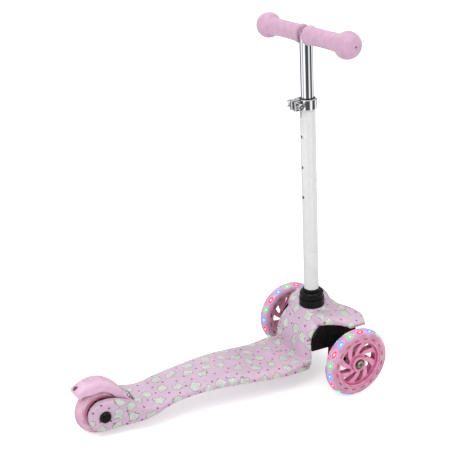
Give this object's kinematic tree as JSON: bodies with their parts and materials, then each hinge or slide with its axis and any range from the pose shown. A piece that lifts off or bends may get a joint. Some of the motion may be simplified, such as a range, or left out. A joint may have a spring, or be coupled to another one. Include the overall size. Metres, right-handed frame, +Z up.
{
  "type": "kick scooter",
  "caption": "Child's kick scooter with a moulded deck, lean steering on a pair of lit front wheels, a braked rear wheel and a height-adjustable T handlebar.",
  "frame": {"origin": "on the floor, under the middle of the scooter's overall box", "axes": "+X forward, +Y to the rider's left, +Z up"},
  "size_m": [0.524, 0.2574, 0.617],
  "materials": {
    "shell_plastic": "satin moulded plastic with an all-over print",
    "black_plastic": "satin moulded plastic",
    "white_paint": "gloss powder coat",
    "chrome": "polished chrome plate",
    "zinc_steel": "zinc plate",
    "brass": "yellow zinc plate",
    "grip_rubber": "soft matt rubber",
    "bush_rubber": "matt rubber",
    "clear_tyre": "clear tinted polyurethane",
    "core_plastic": "gloss moulded plastic",
    "lamp_plastic": "clear lamp bodies on a strip",
    "brake_plastic": "satin moulded plastic"
  },
  "bodies": {
    "frame": {"deck_shell": "shell_plastic", "steering_housing": "black_plastic", "housing_screws": "zinc_steel", "lower_tube": "white_paint", "stem_cross_bolt": "zinc_steel", "stem_cross_nut": "zinc_steel", "head_collar": "black_plastic", "collar_cap": "black_plastic", "tube_liner": "black_plastic", "clamp_band": "chrome", "clamp_bolt": "zinc_steel", "clamp_nut": "chrome", "lever_pin": "zinc_steel", "king_pin_left": "zinc_steel", "king_pin_right": "zinc_steel", "centring_bushes_left": "bush_rubber", "centring_bushes_right": "bush_rubber", "rear_spacers": "zinc_steel", "rear_axle_bolt": "zinc_steel", "rear_axle_nut": "zinc_steel", "axle_cap_left": "black_plastic", "axle_cap_right": "black_plastic", "brake_hinge_pin": "zinc_steel", "brake_spring": "zinc_steel"},
    "handlebar": {"handlebar": "chrome", "grip_left": "grip_rubber", "grip_right": "grip_rubber", "bar_plug_left": "black_plastic", "bar_plug_right": "black_plastic"},
    "snap_button": {"snap_button": "brass"},
    "clamp_lever": {"clamp_lever": "chrome"},
    "left_knuckle": {"knuckle_left": "black_plastic", "wheel_bolt_left": "zinc_steel", "wheel_spacer_left": "zinc_steel", "tie_pin_left": "zinc_steel"},
    "right_knuckle": {"knuckle_right": "black_plastic", "wheel_bolt_right": "zinc_steel", "wheel_spacer_right": "zinc_steel", "tie_pin_right": "zinc_steel"},
    "tie_rod": {"tie_rod": "zinc_steel"},
    "left_wheel": {"front_tyre_left": "clear_tyre", "front_core_left": "core_plastic", "front_bearings_left": "brass", "hub_magnet_left": "zinc_steel", "led_ring_left": "lamp_plastic"},
    "right_wheel": {"front_tyre_right": "clear_tyre", "front_core_right": "core_plastic", "front_bearings_right": "brass", "hub_magnet_right": "zinc_steel", "led_ring_right": "lamp_plastic"},
    "rear_wheel": {"rear_tyre": "clear_tyre", "rear_core": "core_plastic", "rear_bearings": "brass", "rear_hub_spacer": "zinc_steel"},
    "brake": {"brake_fender": "brake_plastic", "brake_shoe": "zinc_steel", "brake_screws": "zinc_steel"}
  },
  "joints": [
    {"name": "steer_left", "type": "hinge", "parent": "frame", "child": "left_knuckle", "pos_m": [0.202, 0.07, 0.06], "axis": [0.309, 0, 0.9511], "range_deg": [-12, 12], "stiffness_Nm_per_rad": 6},
    {"name": "steer_right", "type": "hinge", "parent": "frame", "child": "right_knuckle", "pos_m": [0.202, -0.07, 0.06], "axis": [0.309, 0, 0.9511], "range_deg": [-12, 12]},
    {"name": "tie_rod_swing", "type": "hinge", "parent": "left_knuckle", "child": "tie_rod", "pos_m": [0.22673, 0.07, 0.05197], "axis": [0.309, 0, 0.9511], "range_deg": [-12, 12]},
    {"name": "left_wheel_spin", "type": "hinge", "parent": "left_knuckle", "child": "left_wheel", "pos_m": [0.202, 0.104, 0.06], "axis": [0, 1, 0], "continuous": true},
    {"name": "right_wheel_spin", "type": "hinge", "parent": "right_knuckle", "child": "right_wheel", "pos_m": [0.202, -0.104, 0.06], "axis": [0, 1, 0], "continuous": true},
    {"name": "rear_wheel_spin", "type": "hinge", "parent": "frame", "child": "rear_wheel", "pos_m": [-0.219, 0, 0.04], "axis": [0, 1, 0], "continuous": true},
    {"name": "brake_press", "type": "hinge", "parent": "frame", "child": "brake", "pos_m": [-0.1715, 0, 0.044], "axis": [0, -1, 0], "range_deg": [0, 3.5], "stiffness_Nm_per_rad": 6, "springref_deg": -2.86},
    {"name": "height_slide", "type": "slide", "parent": "frame", "child": "handlebar", "axis": [-0.0677, 0, 0.9977], "range_m": [-0.0519, 0.0519]},
    {"name": "button_press", "type": "slide", "parent": "handlebar", "child": "snap_button", "axis": [0.9977, 0, 0.0677], "range_m": [0, 0.003], "stiffness_N_per_m": 800, "springref_m": -0.001},
    {"name": "clamp_release", "type": "hinge", "parent": "frame", "child": "clamp_lever", "pos_m": [0.13523, 0.015, 0.48558], "axis": [-0.0677, 0, 0.9977], "range_deg": [0, 130]}
  ],
  "couplings": [
    {"joint": "steer_right", "follows": "steer_left", "ratio": 1},
    {"joint": "tie_rod_swing", "follows": "steer_left", "ratio": -1}
  ]
}
